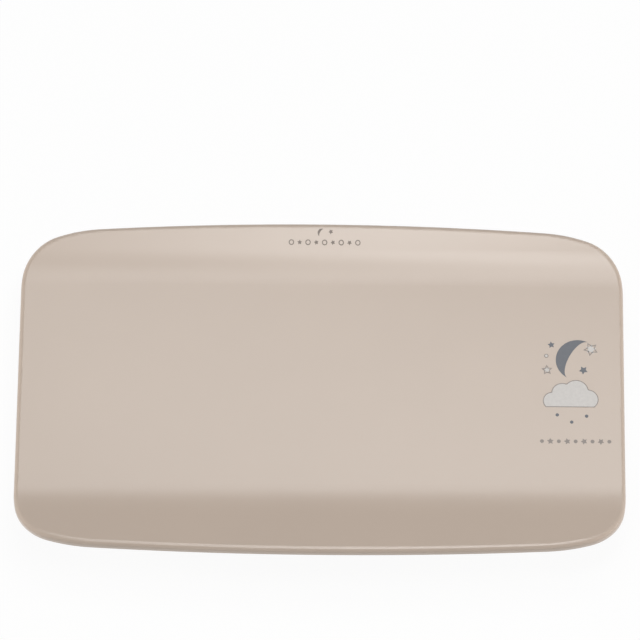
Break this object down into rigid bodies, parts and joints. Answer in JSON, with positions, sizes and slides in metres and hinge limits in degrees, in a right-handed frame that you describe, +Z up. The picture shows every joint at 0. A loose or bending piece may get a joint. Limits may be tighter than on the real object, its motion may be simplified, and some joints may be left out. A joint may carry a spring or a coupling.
{
  "type": "baby weighing scale",
  "caption": "Low digital baby scale: a wide dished plastic tray on a flat base with a front display, push buttons and load-cell feet.",
  "frame": {"origin": "on the table, under the middle of the tray", "axes": "+X to the user's right along the tray, +Y to the rear, +Z up"},
  "size_m": [0.55, 0.3272, 0.0651],
  "materials": {
    "tray_abs": "satin moulded ABS, warm beige",
    "base_abs": "satin moulded ABS, pale beige",
    "foot_rubber": "soft grey rubber",
    "foot_abs": "moulded ABS",
    "spring_steel": "stamped steel",
    "lead_pvc": "PVC-sheathed lead",
    "lead_red": "PVC-sheathed lead",
    "lens_acrylic": "clear polished acrylic with a dark printed border",
    "lcd_glass": "liquid-crystal glass",
    "light_guide": "translucent acrylic",
    "zebra_rubber": "striped silicone",
    "frame_abs": "moulded ABS",
    "board_laminate": "solder-masked glass laminate",
    "component_epoxy": "moulded epoxy",
    "button_abs": "satin moulded ABS",
    "plunger_plastic": "moulded nylon",
    "battery_can": "printed steel can, with the density of a whole cell",
    "plated_steel": "nickel-plated steel"
  },
  "bodies": {
    "root": {"tray": "tray_abs", "base_upper_shell": "base_abs", "base_lower_shell": "base_abs", "foot_pad_front_left": "foot_rubber", "foot_cap_front_left": "foot_abs", "sensor_holder_front_left": "foot_abs", "load_cell_front_left": "spring_steel", "sensor_lead_front_left": "lead_pvc", "foot_pad_front_right": "foot_rubber", "foot_cap_front_right": "foot_abs", "sensor_holder_front_right": "foot_abs", "load_cell_front_right": "spring_steel", "sensor_lead_front_right": "lead_pvc", "foot_pad_rear_left": "foot_rubber", "foot_cap_rear_left": "foot_abs", "sensor_holder_rear_left": "foot_abs", "load_cell_rear_left": "spring_steel", "sensor_lead_rear_left": "lead_pvc", "foot_pad_rear_right": "foot_rubber", "foot_cap_rear_right": "foot_abs", "sensor_holder_rear_right": "foot_abs", "load_cell_rear_right": "spring_steel", "sensor_lead_rear_right": "lead_pvc", "display_lens": "lens_acrylic", "lcd_glass": "lcd_glass", "lcd_backlight": "light_guide", "zebra_strip": "zebra_rubber", "lcd_frame": "frame_abs", "main_board": "board_laminate", "board_components": "component_epoxy", "buzzer": "component_epoxy", "tact_switches": "component_epoxy", "battery_1": "battery_can", "battery_2": "battery_can", "battery_3": "battery_can", "battery_4": "battery_can", "battery_springs": "plated_steel", "battery_contact_plates": "plated_steel", "battery_lead_red": "lead_red", "battery_lead_black": "lead_pvc", "shell_screws": "plated_steel", "tray_screws": "plated_steel", "board_screws": "plated_steel"},
    "power_key": {"power_button": "button_abs", "power_plunger": "plunger_plastic"},
    "hold_key": {"hold_button": "button_abs", "hold_plunger": "plunger_plastic"},
    "unit_key": {"unit_button": "button_abs", "unit_plunger": "plunger_plastic"},
    "door": {"battery_door": "base_abs"}
  },
  "joints": [
    {"name": "power_press", "type": "slide", "parent": "root", "child": "power_key", "axis": [0, 0.9781, -0.2079], "range_m": [0, 0.0005], "stiffness_N_per_m": 400},
    {"name": "hold_press", "type": "slide", "parent": "root", "child": "hold_key", "axis": [0, 0.9781, -0.2079], "range_m": [0, 0.0005], "stiffness_N_per_m": 400},
    {"name": "unit_press", "type": "slide", "parent": "root", "child": "unit_key", "axis": [0, 0.9781, -0.2079], "range_m": [0, 0.0005], "stiffness_N_per_m": 400},
    {"name": "battery_door_tilt", "type": "hinge", "parent": "root", "child": "door", "pos_m": [0, 0.0451, 0.008], "axis": [1, 0, 0], "range_deg": [0, 50]}
  ]
}
